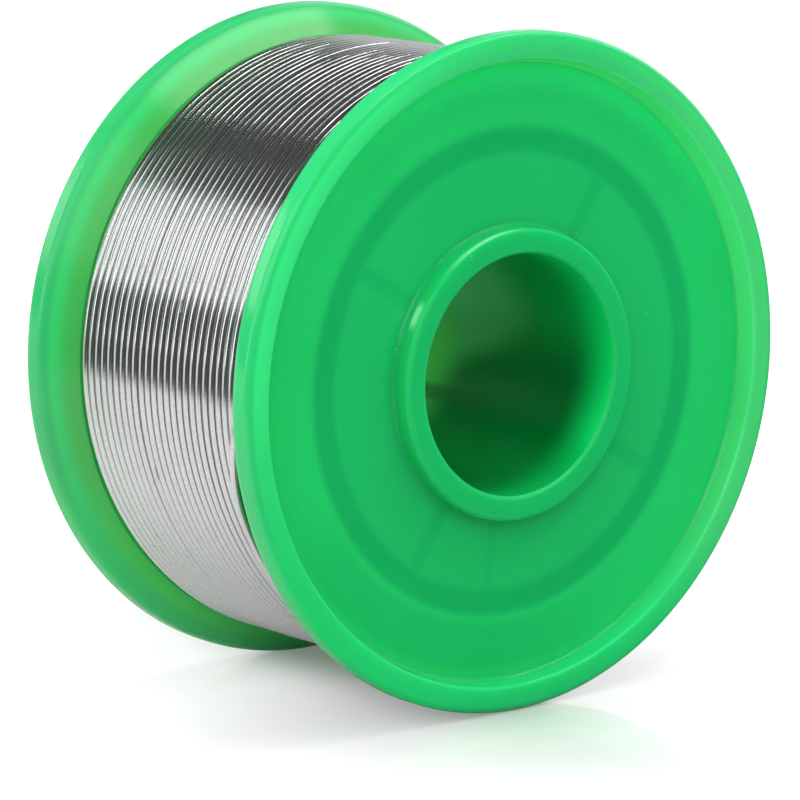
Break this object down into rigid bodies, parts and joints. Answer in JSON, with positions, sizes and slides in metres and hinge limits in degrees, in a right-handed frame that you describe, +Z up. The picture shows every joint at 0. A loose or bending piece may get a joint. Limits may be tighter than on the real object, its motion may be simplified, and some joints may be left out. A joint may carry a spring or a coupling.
{
  "type": "solder wire spool",
  "caption": "Translucent plastic spool with a through bore, raised rims and recessed webs, wound full of fine flux-cored solder wire.",
  "frame": {"origin": "middle of the bore, halfway between the outer faces of the two rims", "axes": "+Y along the spool's axis towards the rear flange, +Z up as the spool lies on its rims, +X to the right seen from the front flange"},
  "size_m": [0.055, 0.0296, 0.055],
  "materials": {
    "spool_plastic": "glossy, slightly translucent",
    "solder": "bright drawn solder wire",
    "rosin": "amber rosin"
  },
  "bodies": {
    "root": {"front_flange_and_hub": "spool_plastic", "rear_flange": "spool_plastic", "inner_wire_layers": "solder", "outer_wire_layer": "solder", "wire_start": "solder", "wire_free_end": "solder", "flux_core": "rosin"}
  },
  "joints": []
}
